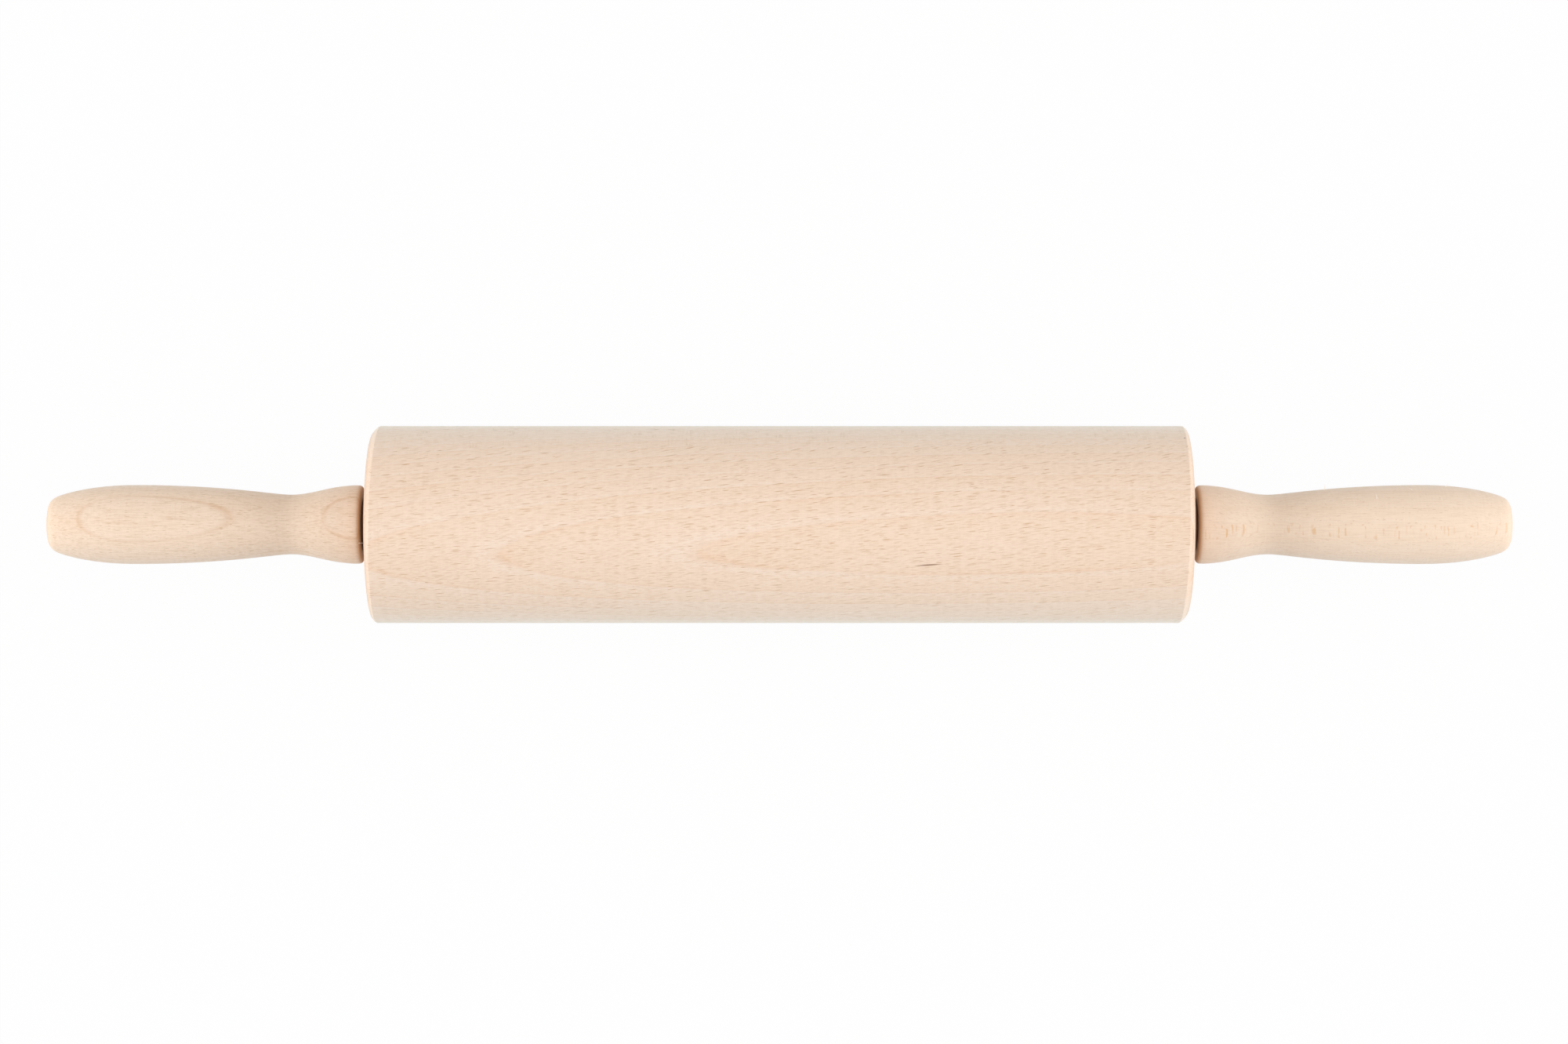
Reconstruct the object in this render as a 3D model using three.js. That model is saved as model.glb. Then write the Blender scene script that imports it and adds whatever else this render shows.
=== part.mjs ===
// Rolling pin in turned beech. A steel axle runs right through the barrel, which spins on it in two
// flanged nylon bushes. A turned handle is pressed on each knurled end of the axle, and a washer of hard
// fibre takes the rub between handle and bush. Millimetres, +Z up. The axle lies along X, and the origin
// is the middle of the barrel, on the axle's axis.

import * as THREE from "three";

// Barrel
const barrelDiameter = 60;
const barrelLength = 247;
const barrelEdgeEase = 1.7; // the edges are taken off by this much, along the axis and across it
const barrelEdgeFlat = 0.36; // 0 eases the edges to a full round, 0.5 to a straight chamfer
const boreSlack = 1; // the drilled hole stands this far off the axle, all round

// Steel axle
const axleDiameter = 8;
const axleGrip = 55; // length held in each handle
const axleEndChamfer = 0.8;
const knurlSetBack = 9; // the knurl starts this far inside the handle and runs to the end
const knurlRunOut = 1.5; // the grooves deepen over this length
const knurlDepth = 0.3;

// Nylon bushes
const bushWall = 2;
const bushLength = 18; // sleeve inside the barrel
const bushFlangeRim = 3; // the flange stands this far outside the sleeve
const bushFlangeThickness = 1.4;
const bushCornerChamfer = 0.5;
const bushPlainStretch = 6; // sleeve without barbs, next to the flange
const barbHeight = 0.4;
const barbCount = 3;

// Fibre washers
const washerRim = 3.75; // from hole to outside
const washerThickness = 1;

// Handles: diameters at the collar, the neck, the swell of the grip and the shoulder of the nose,
// and the runs along the axis from each to the next
const collarDiameter = 23.9;
const collarEdgeRound = 1.4;
const neckDiameter = 18.2;
const neckRun = 20.7;
const gripDiameter = 24.1;
const gripRun = 47.5;
const shoulderDiameter = 17.9;
const shoulderRun = 22.4;
const shoulderSlope = 0.34; // fall in radius for each millimetre along the axis
const noseLength = 3.4;
const endDiscDiameter = 11;
const mouthChamfer = 0.6; // on drilled holes in the wood
const drillPointHeight = 2; // cone that the drill leaves at the bottom of a blind hole

// Share of a run over which its curve keeps the direction that it starts or ends with
const collarEase = 0.45;
const neckEaseBefore = 0.35;
const neckEaseAfter = 0.11;
const gripEaseBefore = 0.59;
const gripEaseAfter = 0.44;
const shoulderEase = 0.2;
const noseEase = 0.55;

// Clearances
const runningClearance = 0.15; // bush on axle, all round
const washerClearance = 0.25; // washer on axle, all round
const endPlay = 0.3; // bush to washer, and washer to handle
const pressGap = 0.1; // pressed pieces are drawn this far apart
const holeSpare = 0.5; // beyond the end of a piece that goes into a blind hole

// Fineness of the round surfaces
const barrelSegments = 60;
const knurlTeeth = 24;
const smallSegments = 36;
const curveSteps = 7;

// Radii and places that follow from the sizes above
const axleRadius = axleDiameter / 2;
const bushBore = axleRadius + runningClearance;
const sleeveRadius = bushBore + bushWall;
const flangeRadius = sleeveRadius + bushFlangeRim;
const pocketRadius = sleeveRadius + barbHeight + pressGap;
const washerBore = axleRadius + washerClearance;
const handleHoleRadius = axleRadius + pressGap;
const barrelEnd = barrelLength / 2;
const flangeStart = barrelEnd + pressGap;
const washerStart = flangeStart + bushFlangeThickness + endPlay;
const handleStart = washerStart + washerThickness + endPlay;
const axleEnd = handleStart + axleGrip;

const barrelBeech = new THREE.MeshStandardMaterial({ color: "#efd5be", roughness: 0.62, metalness: 0 });
const handleBeech = new THREE.MeshStandardMaterial({ color: "#eed5b9", roughness: 0.55, metalness: 0 });
const brightSteel = new THREE.MeshStandardMaterial({ color: "#b9bbbd", roughness: 0.32, metalness: 1 });
const nylon = new THREE.MeshStandardMaterial({ color: "#ece8dd", roughness: 0.45, metalness: 0 });
const hardFibre = new THREE.MeshStandardMaterial({ color: "#6e4630", roughness: 0.6, metalness: 0 });

// Turns an outline, drawn as radius against distance along the axis, into a solid about X, with a
// flat facing straight down.
function turned(outline, segments) {
  const points = outline.getPoints(curveSteps);
  const lathe = new THREE.LatheGeometry(points, segments, Math.PI / segments);
  return lathe.rotateZ(-Math.PI / 2);
}

function piece(name, geometry, material) {
  const mesh = new THREE.Mesh(geometry, material);
  mesh.name = name;
  return mesh;
}

// Barrel: plain cylinder with eased edges, drilled through, with a pocket at each end for a bush
function barrelGeometry() {
  const radius = barrelDiameter / 2;
  const boreRadius = axleRadius + boreSlack;
  const pocketBottom = barrelEnd - bushLength - holeSpare;
  const edgeRadius = radius - barrelEdgeFlat * barrelEdgeEase;
  const edgeAt = barrelEnd - barrelEdgeFlat * barrelEdgeEase;
  const outline = new THREE.Path();
  outline.moveTo(pocketRadius + mouthChamfer, -barrelEnd);
  outline.lineTo(radius - barrelEdgeEase, -barrelEnd);
  outline.quadraticCurveTo(edgeRadius, -edgeAt, radius, barrelEdgeEase - barrelEnd);
  outline.lineTo(radius, barrelEnd - barrelEdgeEase);
  outline.quadraticCurveTo(edgeRadius, edgeAt, radius - barrelEdgeEase, barrelEnd);
  outline.lineTo(pocketRadius + mouthChamfer, barrelEnd);
  outline.lineTo(pocketRadius, barrelEnd - mouthChamfer);
  outline.lineTo(pocketRadius, pocketBottom);
  outline.lineTo(boreRadius, pocketBottom);
  outline.lineTo(boreRadius, -pocketBottom);
  outline.lineTo(pocketRadius, -pocketBottom);
  outline.lineTo(pocketRadius, mouthChamfer - barrelEnd);
  outline.lineTo(pocketRadius + mouthChamfer, -barrelEnd);
  return turned(outline, barrelSegments);
}

// Axle: bright rod with chamfered ends; beyond the plain stretch every second edge sinks to make the
// grooves of the straight knurl
function axleGeometry() {
  const knurlStart = handleStart + knurlSetBack;
  const plainEnd = knurlStart - knurlRunOut;
  const outline = new THREE.Path();
  outline.moveTo(0, -axleEnd);
  outline.lineTo(axleRadius - axleEndChamfer, -axleEnd);
  outline.lineTo(axleRadius, axleEndChamfer - axleEnd);
  outline.lineTo(axleRadius, -knurlStart);
  outline.lineTo(axleRadius, -plainEnd);
  outline.lineTo(axleRadius, plainEnd);
  outline.lineTo(axleRadius, knurlStart);
  outline.lineTo(axleRadius, axleEnd - axleEndChamfer);
  outline.lineTo(axleRadius - axleEndChamfer, axleEnd);
  outline.lineTo(0, axleEnd);
  const segments = 2 * knurlTeeth;
  const rod = turned(outline, segments);
  const places = rod.getAttribute("position");
  const edgeTurn = (2 * Math.PI) / segments;
  const grooveShare = 1 - knurlDepth / axleRadius;
  const halfway = (plainEnd + knurlStart) / 2;
  for (let i = 0; i < places.count; i += 1) {
    const turn = Math.atan2(places.getY(i), places.getZ(i)) / edgeTurn;
    const isGroove = Math.abs(Math.floor(turn)) % 2 === 1;
    if (isGroove && Math.abs(places.getX(i)) > halfway) {
      places.setY(i, places.getY(i) * grooveShare);
      places.setZ(i, places.getZ(i) * grooveShare);
    }
  }
  return rod;
}

// Bush for the +X end: a sleeve with barbs that hold it in its pocket, and a flange outside the barrel
function bushGeometry() {
  const sleeveEnd = barrelEnd - bushLength;
  const flangeEnd = flangeStart + bushFlangeThickness;
  const barbLength = (bushLength - bushPlainStretch) / barbCount;
  const outline = new THREE.Path();
  outline.moveTo(bushBore, sleeveEnd);
  outline.lineTo(sleeveRadius, sleeveEnd);
  for (let barb = 1; barb <= barbCount; barb += 1) {
    const crest = sleeveEnd + barb * barbLength;
    outline.lineTo(sleeveRadius + barbHeight, crest);
    outline.lineTo(sleeveRadius, crest);
  }
  outline.lineTo(sleeveRadius, flangeStart);
  outline.lineTo(flangeRadius, flangeStart);
  outline.lineTo(flangeRadius, flangeEnd - bushCornerChamfer);
  outline.lineTo(flangeRadius - bushCornerChamfer, flangeEnd);
  outline.lineTo(bushBore + bushCornerChamfer, flangeEnd);
  outline.lineTo(bushBore, flangeEnd - bushCornerChamfer);
  outline.lineTo(bushBore, sleeveEnd);
  return turned(outline, smallSegments);
}

// Washer for the +X end
function washerGeometry() {
  const washerEnd = washerStart + washerThickness;
  const outline = new THREE.Path();
  outline.moveTo(washerBore, washerStart);
  outline.lineTo(washerBore + washerRim, washerStart);
  outline.lineTo(washerBore + washerRim, washerEnd);
  outline.lineTo(washerBore, washerEnd);
  outline.lineTo(washerBore, washerStart);
  return turned(outline, smallSegments);
}

// Handle for the +X end: collar, waisted neck, long swelling grip and rounded nose with a flat end,
// over a blind hole for the axle
function handleGeometry() {
  const collarRadius = collarDiameter / 2;
  const neckRadius = neckDiameter / 2;
  const gripRadius = gripDiameter / 2;
  const shoulderRadius = shoulderDiameter / 2;
  const endDiscRadius = endDiscDiameter / 2;
  const collarAt = handleStart + collarEdgeRound;
  const neckAt = collarAt + neckRun;
  const gripAt = neckAt + gripRun;
  const shoulderAt = gripAt + shoulderRun;
  const endAt = shoulderAt + noseLength;
  const holeBottom = axleEnd + holeSpare;
  const shoulderReach = shoulderEase * shoulderRun;
  const noseReach = noseEase * noseLength;
  const outline = new THREE.Path();
  outline.moveTo(0, holeBottom + drillPointHeight);
  outline.lineTo(handleHoleRadius, holeBottom);
  outline.lineTo(handleHoleRadius, handleStart + mouthChamfer);
  outline.lineTo(handleHoleRadius + mouthChamfer, handleStart);
  outline.lineTo(collarRadius - collarEdgeRound, handleStart);
  outline.quadraticCurveTo(collarRadius, handleStart, collarRadius, collarAt);
  outline.bezierCurveTo(
    collarRadius, collarAt + collarEase * neckRun,
    neckRadius, neckAt - neckEaseBefore * neckRun,
    neckRadius, neckAt,
  );
  outline.bezierCurveTo(
    neckRadius, neckAt + neckEaseAfter * gripRun,
    gripRadius, gripAt - gripEaseBefore * gripRun,
    gripRadius, gripAt,
  );
  outline.bezierCurveTo(
    gripRadius, gripAt + gripEaseAfter * shoulderRun,
    shoulderRadius + shoulderSlope * shoulderReach, shoulderAt - shoulderReach,
    shoulderRadius, shoulderAt,
  );
  outline.bezierCurveTo(
    shoulderRadius - shoulderSlope * noseReach, shoulderAt + noseReach,
    endDiscRadius + noseEase * (shoulderRadius - endDiscRadius), endAt,
    endDiscRadius, endAt,
  );
  outline.lineTo(0, endAt);
  return turned(outline, smallSegments);
}

const rollingPin = new THREE.Group();
rollingPin.add(piece("barrel", barrelGeometry(), barrelBeech));
rollingPin.add(piece("axle_rod", axleGeometry(), brightSteel));

// The -X end holds the same pieces as the +X end, turned half round
for (const [side, turn] of [["right", 0], ["left", Math.PI]]) {
  const endPieces = new THREE.Group();
  endPieces.rotation.z = turn;
  endPieces.add(piece(`${side}_bearing_bush`, bushGeometry(), nylon));
  endPieces.add(piece(`${side}_thrust_washer`, washerGeometry(), hardFibre));
  endPieces.add(piece(`${side}_handle`, handleGeometry(), handleBeech));
  rollingPin.add(endPieces);
}

export default rollingPin;
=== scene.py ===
# %% [markdown]
# # A rolling pin in turned beech
# A beech barrel spins on a steel axle between two turned handles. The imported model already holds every
# piece at its real size and place, so this script only makes the surfaces: wood with its rings, rays and
# torn fibres, moulded nylon, bright steel and hard fibre. All lengths are metres, +Z is up and the axle
# lies along X.

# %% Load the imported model
import math
import bpy
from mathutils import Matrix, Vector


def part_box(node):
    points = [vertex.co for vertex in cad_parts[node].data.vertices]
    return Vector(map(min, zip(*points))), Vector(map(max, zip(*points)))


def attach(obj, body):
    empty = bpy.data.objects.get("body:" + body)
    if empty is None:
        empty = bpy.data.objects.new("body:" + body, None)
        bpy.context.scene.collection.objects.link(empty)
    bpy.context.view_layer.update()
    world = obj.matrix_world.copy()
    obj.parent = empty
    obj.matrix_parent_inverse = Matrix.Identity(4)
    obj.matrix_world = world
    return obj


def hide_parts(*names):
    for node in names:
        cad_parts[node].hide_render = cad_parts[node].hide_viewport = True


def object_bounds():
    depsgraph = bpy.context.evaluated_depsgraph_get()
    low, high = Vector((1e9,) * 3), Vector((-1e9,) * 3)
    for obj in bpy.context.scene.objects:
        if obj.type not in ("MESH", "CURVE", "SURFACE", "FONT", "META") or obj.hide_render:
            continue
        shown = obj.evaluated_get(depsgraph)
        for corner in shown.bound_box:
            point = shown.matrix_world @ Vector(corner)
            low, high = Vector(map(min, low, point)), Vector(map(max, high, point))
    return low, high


MM = 0.001
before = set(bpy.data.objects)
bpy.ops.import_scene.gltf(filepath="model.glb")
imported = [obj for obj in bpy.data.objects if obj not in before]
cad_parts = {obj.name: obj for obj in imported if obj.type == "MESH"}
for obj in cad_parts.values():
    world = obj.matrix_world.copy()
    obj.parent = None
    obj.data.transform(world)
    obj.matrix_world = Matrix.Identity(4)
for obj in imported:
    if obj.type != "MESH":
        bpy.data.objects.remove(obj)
cad_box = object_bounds()
print("packed box, mm:", [[round(value / MM, 2) for value in corner] for corner in cad_box])

# %% [markdown]
# ## Two small helpers
# Colours are easiest to read as the hex values that a paint program shows, but shaders count in linear
# light, so one function turns one into the other. Node trees could be clicked together in the editor.
# Built in code they need one more helper, which adds a node, sets it up and links its inputs. Inputs that
# share a name go by number: on a Mix node, input 0 mixes the numbers 2 and 3 or the colours 6 and 7.

# %% Colour and node helpers
SRGB_TOE = 0.04045          # darker than this, sRGB is a straight line
MATH, VECTOR_MATH = "ShaderNodeMath", "ShaderNodeVectorMath"
MAP_RANGE, MIX = "ShaderNodeMapRange", "ShaderNodeMix"


def colour(hex_code):
    """A linear RGBA colour from an sRGB hex code such as "#f3dac5"."""
    shares = [int(hex_code[i:i + 2], 16) / 255 for i in (1, 3, 5)]
    linear = [share / 12.92 if share <= SRGB_TOE else ((share + 0.055) / 1.055) ** 2.4 for share in shares]
    return (*linear, 1.0)


def add_node(tree, kind, inputs=None, **settings):
    """Adds a node. Each input, by name or number, takes a value, a socket, or a node's first output."""
    node = tree.nodes.new(kind)
    for name, value in settings.items():
        setattr(node, name, value)
    for key, value in (inputs or {}).items():
        named = [s for s in node.inputs if s.enabled and key in (s.name, s.identifier)]
        socket = node.inputs[key] if isinstance(key, int) else named[0]
        if isinstance(value, bpy.types.Node):
            value = next(output for output in value.outputs if output.enabled)
        if isinstance(value, bpy.types.NodeSocket):
            tree.links.new(value, socket)
        else:
            socket.default_value = value
    return node


print("#f3dac5 as linear light:", [round(value, 3) for value in colour("#f3dac5")[:3]])

# %% [markdown]
# ## The camera
# The photograph looks straight down on the pin. The scale at the height of the axle comes from the length
# of the pin. The distance comes from how much wider the top of the barrel looks than its ends.
# A camera at its default turn looks along -Z with +Y up in the picture, so it only needs its place.

# %% Camera above the pin
PHOTO_SIZE = (2000, 1331)
PIN_MIDDLE_PX = (994.3, 668.7)
PX_PER_MM = 4.191
CAMERA_HEIGHT = 1137 * MM
SENSOR_WIDTH_MM = 36

scene = bpy.context.scene
camera_data = bpy.data.cameras.new("overhead_camera")
camera_data.sensor_width = SENSOR_WIDTH_MM
camera_data.lens = SENSOR_WIDTH_MM * PX_PER_MM * CAMERA_HEIGHT / MM / PHOTO_SIZE[0]
camera = bpy.data.objects.new("overhead_camera", camera_data)
camera.location = (
    (PHOTO_SIZE[0] / 2 - PIN_MIDDLE_PX[0]) / PX_PER_MM * MM,
    (PIN_MIDDLE_PX[1] - PHOTO_SIZE[1] / 2) / PX_PER_MM * MM,
    CAMERA_HEIGHT,
)
scene.collection.objects.link(camera)
scene.camera = camera
print("lens, mm:", round(camera_data.lens, 2))

# %% [markdown]
# ## The white table and the light tent
# The pin lies on white in a light tent, with soft light from all round. The table and the world look white
# to the eye by Light Path, while the table still takes the shadow.

# %% World and table
WORLD_LIGHT = 0.42
WHITE = colour("#ffffff")
TABLE_SIZE = 8.0
TABLE_WHITE_SHARE = 0.965
PAPER_TINT = "#e4e4e4"

scene.view_settings.view_transform = "Standard"


def seen_directly(tree):
    """1 for rays from the eye, straight or by mirror or glass, and 0 for light on other surfaces."""
    path = add_node(tree, "ShaderNodeLightPath")
    mirrored = add_node(tree, MATH, {
        0: path.outputs["Is Camera Ray"], 1: path.outputs["Is Glossy Ray"]}, operation="MAXIMUM")
    return add_node(tree, MATH, {0: mirrored, 1: path.outputs["Is Transmission Ray"]}, operation="MAXIMUM")


world = bpy.data.worlds.new("light_tent")
world.use_nodes = True
scene.world = world
tent = world.node_tree
tent.nodes.clear()
tent_level = add_node(tent, MAP_RANGE, {"Value": seen_directly(tent), "To Min": WORLD_LIGHT, "To Max": 1.0})
tent_light = add_node(tent, "ShaderNodeBackground", {"Color": WHITE, "Strength": tent_level})
add_node(tent, "ShaderNodeOutputWorld", {"Surface": tent_light})


def new_material(name):
    """A new material, and its node tree with nothing in it."""
    material = bpy.data.materials.new(name)
    material.use_nodes = True
    material.node_tree.nodes.clear()
    return material, material.node_tree


table_paper, paper = new_material("matt_white_paper")
paper_share = add_node(paper, MATH, {0: seen_directly(paper), 1: TABLE_WHITE_SHARE}, operation="MULTIPLY")
paper_matt = add_node(paper, "ShaderNodeBsdfDiffuse", {"Color": colour(PAPER_TINT)})
paper_white = add_node(paper, "ShaderNodeEmission", {"Color": WHITE, "Strength": 1.0})
paper_mix = add_node(paper, "ShaderNodeMixShader", {0: paper_share, 1: paper_matt, 2: paper_white})
add_node(paper, "ShaderNodeOutputMaterial", {"Surface": paper_mix})

half_table = TABLE_SIZE / 2
table_level = cad_box[0][2]
table_corners = [(x * half_table, y * half_table, table_level)
                 for x, y in ((-1, -1), (1, -1), (1, 1), (-1, 1))]
table_mesh = bpy.data.meshes.new("table")
table_mesh.from_pydata(table_corners, [], [(0, 1, 2, 3)])
table_mesh.materials.append(table_paper)
table = bpy.data.objects.new("table", table_mesh)
scene.collection.objects.link(table)
print("table at", round(table_level / MM, 2), "mm")

# %% [markdown]
# Over the pin hangs a lamp, a soft box stands beyond each handle, and a weak, cool one on the near side.
# The end boxes make slopes that face outwards brighter than those that face the barrel. Gloss mirrors the
# even tent and not the boxes, which would burn out the wood in a low view along the pin.

# %% Soft boxes
SOFT_BOXES = {  # place, width and height, light level (1 shows a white card facing it as white) and tint
    "overhead_box": ((0.0, 0.0, 2.2), (1.6, 1.6), 0.23, "#ffffff"),
    "left_end_box": ((-2.2, 0.0, 0.75), (1.4, 1.6), 0.7, "#ffffff"),
    "right_end_box": ((2.2, 0.0, 0.75), (1.4, 1.6), 0.7, "#ffffff"),
    "near_box": ((0.0, -2.0, 0.9), (1.6, 1.2), 0.08, "#c8e4ff"),
}

for name, (place, size, level, tint) in SOFT_BOXES.items():
    lamp = bpy.data.lights.new(name, "AREA")
    lamp.shape = "RECTANGLE"
    lamp.size, lamp.size_y = size
    lamp.energy = level * (math.pi * math.dist(place, (0, 0, 0))) ** 2
    lamp.color = colour(tint)[:3]
    box = bpy.data.objects.new(name, lamp)
    box.location = place
    box.rotation_euler = box.location.to_track_quat("Z", "Y").to_euler()
    box.visible_glossy = False
    scene.collection.objects.link(box)
print("soft boxes:", ", ".join(SOFT_BOXES))

# %% [markdown]
# ## From rings to outlines
# Every piece here was turned, so an outline swept round the axis is all there is to its shape. The packed
# solids are rings of facets. Reading each ring as one point, and walking from ring to ring, gives the
# outline back. Drawing the shape again by hand could miss the solid. Read back, it always fits.

# %% Read an outline from a node
KEY_DIGITS = 5              # metres to 0.01 mm tell the rings apart


def outline_of(node):
    """The outline of a turned node, in order, as (distance along the axis, radius to the facets' flats)."""
    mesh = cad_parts[node].data
    rings = [(vertex.co.x, math.hypot(vertex.co.y, vertex.co.z)) for vertex in mesh.vertices]
    keys = [(round(along, KEY_DIGITS), round(radius, KEY_DIGITS)) for along, radius in rings]
    exact = dict(zip(keys, rings))
    beside = {key: set() for key in keys}
    for edge in mesh.edges:
        first, second = (keys[i] for i in edge.vertices)
        if first != second:
            beside[first].add(second)
            beside[second].add(first)
    loose_ends = [key for key in beside if len(beside[key]) == 1]
    walk = [min(loose_ends or beside)]
    while fresh := beside[walk[-1]].difference(walk):
        walk.append(max(fresh))
    if not loose_ends:
        walk.append(walk[0])
    to_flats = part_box(node)[1][2] / max(radius for along, radius in rings)
    return [(exact[key][0], exact[key][1] * to_flats) for key in walk]


TURNED = ["barrel"] + [f"{side}_{name}" for side in ("left", "right")
                       for name in ("handle", "bearing_bush", "thrust_washer")]
outlines = {node: outline_of(node) for node in TURNED}
for node, points in outlines.items():
    print(f"{node}: {len(points)} points")

# %% [markdown]
# The solids keep their curves coarse. Here each curved stretch is split further, on a smooth curve through
# the same points. Stretches along the axis or square to it are straight and stay so, and a turn sharper
# than half of a chamfer's is a corner that the turner cut on purpose.

# %% Smooth the curved stretches
FINE_STEPS = 4
CORNER = math.radians(21)
SAME_PLACE = 0.001 * MM


def unit_step(start, end):
    """Direction and length of the step from one outline point to the next."""
    length = math.dist(start, end)
    return ((end[0] - start[0]) / length, (end[1] - start[1]) / length), length


def is_straight(step):
    """True for a step along the axis or square to it."""
    (along, outward), length = step
    return min(abs(along), abs(outward)) * length < SAME_PLACE


def heading(before, after, own):
    """Direction of the curve where two steps meet, seen from the step called own."""
    (way_in, length_in), (way_out, length_out) = before, after
    turn = math.acos(max(-1.0, min(1.0, way_in[0] * way_out[0] + way_in[1] * way_out[1])))
    if turn > CORNER:
        return own[0]
    if is_straight(before):
        return way_in
    if is_straight(after):
        return way_out
    whole = length_in + length_out
    return tuple((way_in[i] * length_out + way_out[i] * length_in) / whole for i in (0, 1))


def smoothed(points):
    """The outline with each curved step split along a smooth curve."""
    closed = points[0] == points[-1]
    steps = [unit_step(start, end) for start, end in zip(points, points[1:])]
    fine = [points[0]]
    for i, step in enumerate(steps):
        start, end, length = points[i], points[i + 1], step[1]
        before = steps[i - 1] if i > 0 or closed else step
        after = steps[(i + 1) % len(steps)] if i + 1 < len(steps) or closed else step
        leave = heading(before, step, step)
        arrive = heading(step, after, step)
        split = 1 if is_straight(step) else FINE_STEPS
        for k in range(1, split + 1):
            t = k / split
            hold = 2 * t ** 3 - 3 * t ** 2 + 1
            pull_out = (t ** 3 - 2 * t ** 2 + t) * length
            pull_in = (t ** 3 - t ** 2) * length
            fine.append(tuple(
                hold * start[j] + (1 - hold) * end[j] + pull_out * leave[j] + pull_in * arrive[j]
                for j in (0, 1)))
    return fine


fine_outlines = {node: smoothed(points) for node, points in outlines.items()}
print("points on the fine handle outline:", len(fine_outlines["left_handle"]))

# %% [markdown]
# ## The lathe
# Spinning an outline is a rule, so Geometry Nodes do it: a grid has one row for each outline point and one
# column for each step round the axis, and every grid point moves to its turned place. A Screw modifier
# would do much the same, but the tree also closes seam and poles and keeps corners crisp.

# %% Lathe tree
MERGE_REACH = 0.0005 * MM
CRISP_EDGE = math.radians(24)


def add_sockets(tree, in_out, kinds):
    """Gives a node tree these inputs or outputs, and returns the identifier of each."""
    return {
        name: tree.interface.new_socket(name, in_out=in_out, socket_type=f"NodeSocket{kind}").identifier
        for name, kind in kinds.items()
    }


lathe = bpy.data.node_groups.new("turn_on_lathe", "GeometryNodeTree")
lathe_inputs = add_sockets(lathe, "INPUT", {"Outline": "Geometry", "Sides": "Int", "Finish": "Material"})
add_sockets(lathe, "OUTPUT", {"Piece": "Geometry"})

given = add_node(lathe, "NodeGroupInput").outputs
count = add_node(lathe, "GeometryNodeAttributeDomainSize", {"Geometry": given["Outline"]}, component="MESH")
columns = add_node(lathe, MATH, {0: given["Sides"], 1: 1.0}, operation="ADD")
sheet = add_node(lathe, "GeometryNodeMeshGrid", {"Vertices X": count, "Vertices Y": columns})
index = add_node(lathe, "GeometryNodeInputIndex")
row_share = add_node(lathe, MATH, {0: index, 1: columns}, operation="DIVIDE")
row = add_node(lathe, MATH, {0: row_share}, operation="FLOOR")
column = add_node(lathe, MATH, {0: index, 1: columns}, operation="MODULO")
turn_share = add_node(lathe, MATH, {0: column, 1: given["Sides"]}, operation="DIVIDE")
turn = add_node(lathe, MATH, {0: turn_share, 1: math.tau}, operation="MULTIPLY")
place = add_node(lathe, "GeometryNodeInputPosition")
on_outline = add_node(lathe, "GeometryNodeSampleIndex", {
    "Geometry": given["Outline"], "Value": place, "Index": row}, data_type="FLOAT_VECTOR", domain="POINT")
turned_place = add_node(lathe, "ShaderNodeVectorRotate", {
    "Vector": on_outline, "Angle": turn}, rotation_type="X_AXIS")
spun = add_node(lathe, "GeometryNodeSetPosition", {"Geometry": sheet, "Position": turned_place})
closed_skin = add_node(lathe, "GeometryNodeMergeByDistance", {"Geometry": spun, "Distance": MERGE_REACH})
smooth_skin = add_node(lathe, "GeometryNodeSetShadeSmooth", {"Geometry": closed_skin}, domain="FACE")
edge_angle = add_node(lathe, "GeometryNodeInputMeshEdgeAngle")
is_crisp = add_node(lathe, "FunctionNodeCompare", {
    "A": edge_angle.outputs["Unsigned Angle"], "B": CRISP_EDGE},
    data_type="FLOAT", operation="GREATER_THAN")
crisp_skin = add_node(lathe, "GeometryNodeSetShadeSmooth", {
    "Geometry": smooth_skin, "Selection": is_crisp, "Shade Smooth": False}, domain="EDGE")
realized = add_node(lathe, "GeometryNodeRealizeInstances", {"Geometry": crisp_skin})
finished = add_node(lathe, "GeometryNodeSetMaterial", {"Geometry": realized, "Material": given["Finish"]})
add_node(lathe, "NodeGroupOutput", {"Piece": finished})
print("lathe tree:", len(lathe.nodes), "nodes")

# %% [markdown]
# ## Three billets
# The barrel came from a pinkish plank sawn on the flat, the left handle from yellower wood with a ring
# just under its skin, and the right handle was split so that rays lie in its surface. One tree of nodes
# will make all three. Only its numbers and tints change: the place of the pith, the width of the rings,
# and how long and strong the marks are.

# %% Numbers and tints of the billets
BILLET_NUMBERS = {  # barrel, left handle and right handle, with lengths in mm and angles in radians
    "Pith across": (-32.3, -3.4, -36.7),
    "Pith up": (130.0, -17.9, 4.5),
    "Drift": (-0.0985, 0.0, 0.0),
    "Rise": (0.0088, -0.003, 0.0),
    "Bow": (-2.17, 0.0, 0.0),
    "Ring width": (3.51, 6.0, 4.6),
    "Ring start": (60.922, 106.926, 0.3),
    "Ring strength": (0.75, 0.18, 0.2),
    "Line width": (0.3, 0.26, 0.4),
    "Line strength": (0.4, 0.65, 0.1),
    "Fray": (0.5, 0.2, 1.0),
    "Ray angle": (1.0 / 105, 0.9 / 28, 1.0 / 36),
    "Ray length": (5.3, 2.8, 1.9),
    "Ray depth": (1.5, 4.0, 2.6),
    "Ray thickness": (0.6, 0.5, 0.4),
    "Ray strength": (0.77, 0.7, 0.75),
    "Fine ray strength": (0.56, 0.5, 0.7),
    "Fibre length": (2.6, 6.0, 10.0),
    "Pore strength": (0.24, 0.32, 0.3),
    "Lathe strength": (0.04, 0.05, 0.07),
    "Tick strength": (0.12, 0.2, 0.4),
    "Collar shade": (0.0, 0.9, 0.9),
}
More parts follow.
